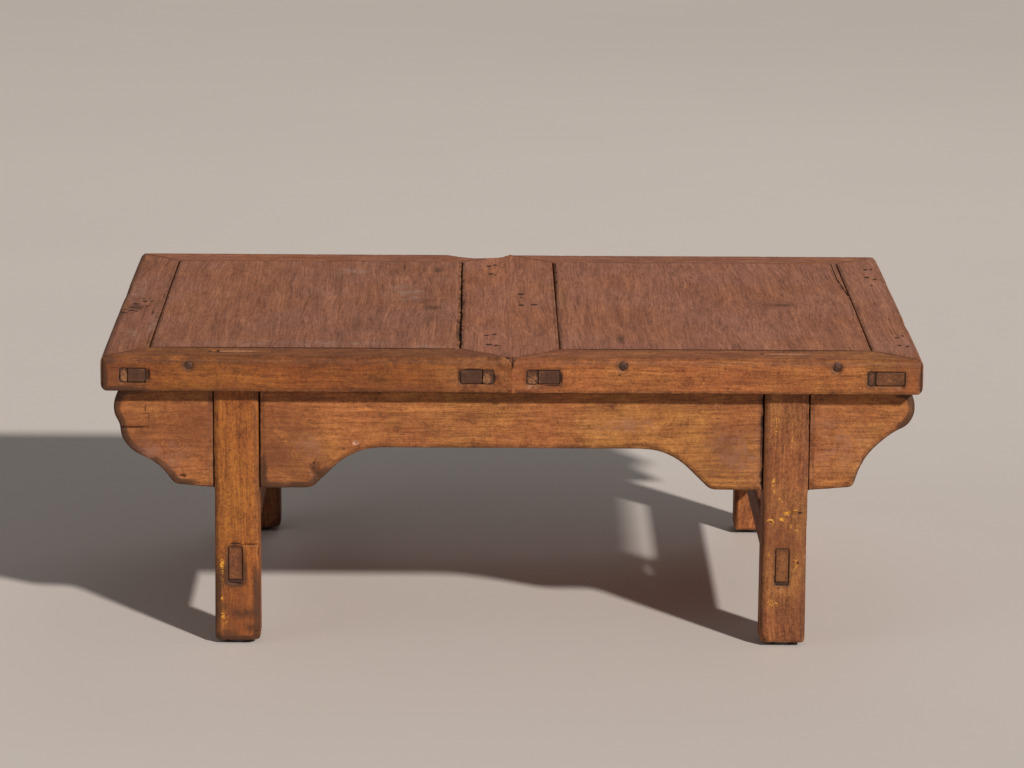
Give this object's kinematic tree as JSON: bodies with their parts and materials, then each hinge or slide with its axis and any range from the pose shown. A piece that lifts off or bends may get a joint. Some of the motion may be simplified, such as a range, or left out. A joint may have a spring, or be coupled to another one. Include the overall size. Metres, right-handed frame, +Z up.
{
  "type": "kang table",
  "caption": "Low wooden table: two framed panel leaves side by side on slotted square legs, arched aprons and side stretchers.",
  "frame": {"origin": "on the floor, under the middle of the table's top", "axes": "+X along the table's length to its right end, +Y from the front to the back, +Z up"},
  "size_m": [0.9, 0.6, 0.332],
  "materials": {
    "panel_wood": "worn, matte, dark reddish brown",
    "frame_wood": "worn, matte, reddish brown",
    "base_wood": "worn, matte, orange brown",
    "inner_wood": "bare, matte",
    "wedge_wood": "bare end grain",
    "iron": "hammered, rusted dark",
    "felt": "grey felt"
  },
  "bodies": {
    "root": {"left_front_rail": "frame_wood", "left_back_rail": "frame_wood", "left_outer_stile": "frame_wood", "left_inner_stile": "frame_wood", "left_panel": "panel_wood", "right_front_rail": "frame_wood", "right_back_rail": "frame_wood", "right_outer_stile": "frame_wood", "right_inner_stile": "frame_wood", "right_panel": "panel_wood", "left_front_batten": "inner_wood", "left_back_batten": "inner_wood", "right_front_batten": "inner_wood", "right_back_batten": "inner_wood", "front_left_leg": "base_wood", "front_right_leg": "base_wood", "back_left_leg": "base_wood", "back_right_leg": "base_wood", "front_apron": "base_wood", "back_apron": "base_wood", "left_stretcher": "base_wood", "right_stretcher": "base_wood", "right_panel_slip": "panel_wood", "seam_tongues": "inner_wood", "tenon_wedges": "wedge_wood", "stretcher_wedges": "wedge_wood", "rail_nails": "iron", "front_left_pad": "felt", "front_right_pad": "felt", "back_left_pad": "felt", "back_right_pad": "felt"}
  },
  "joints": []
}
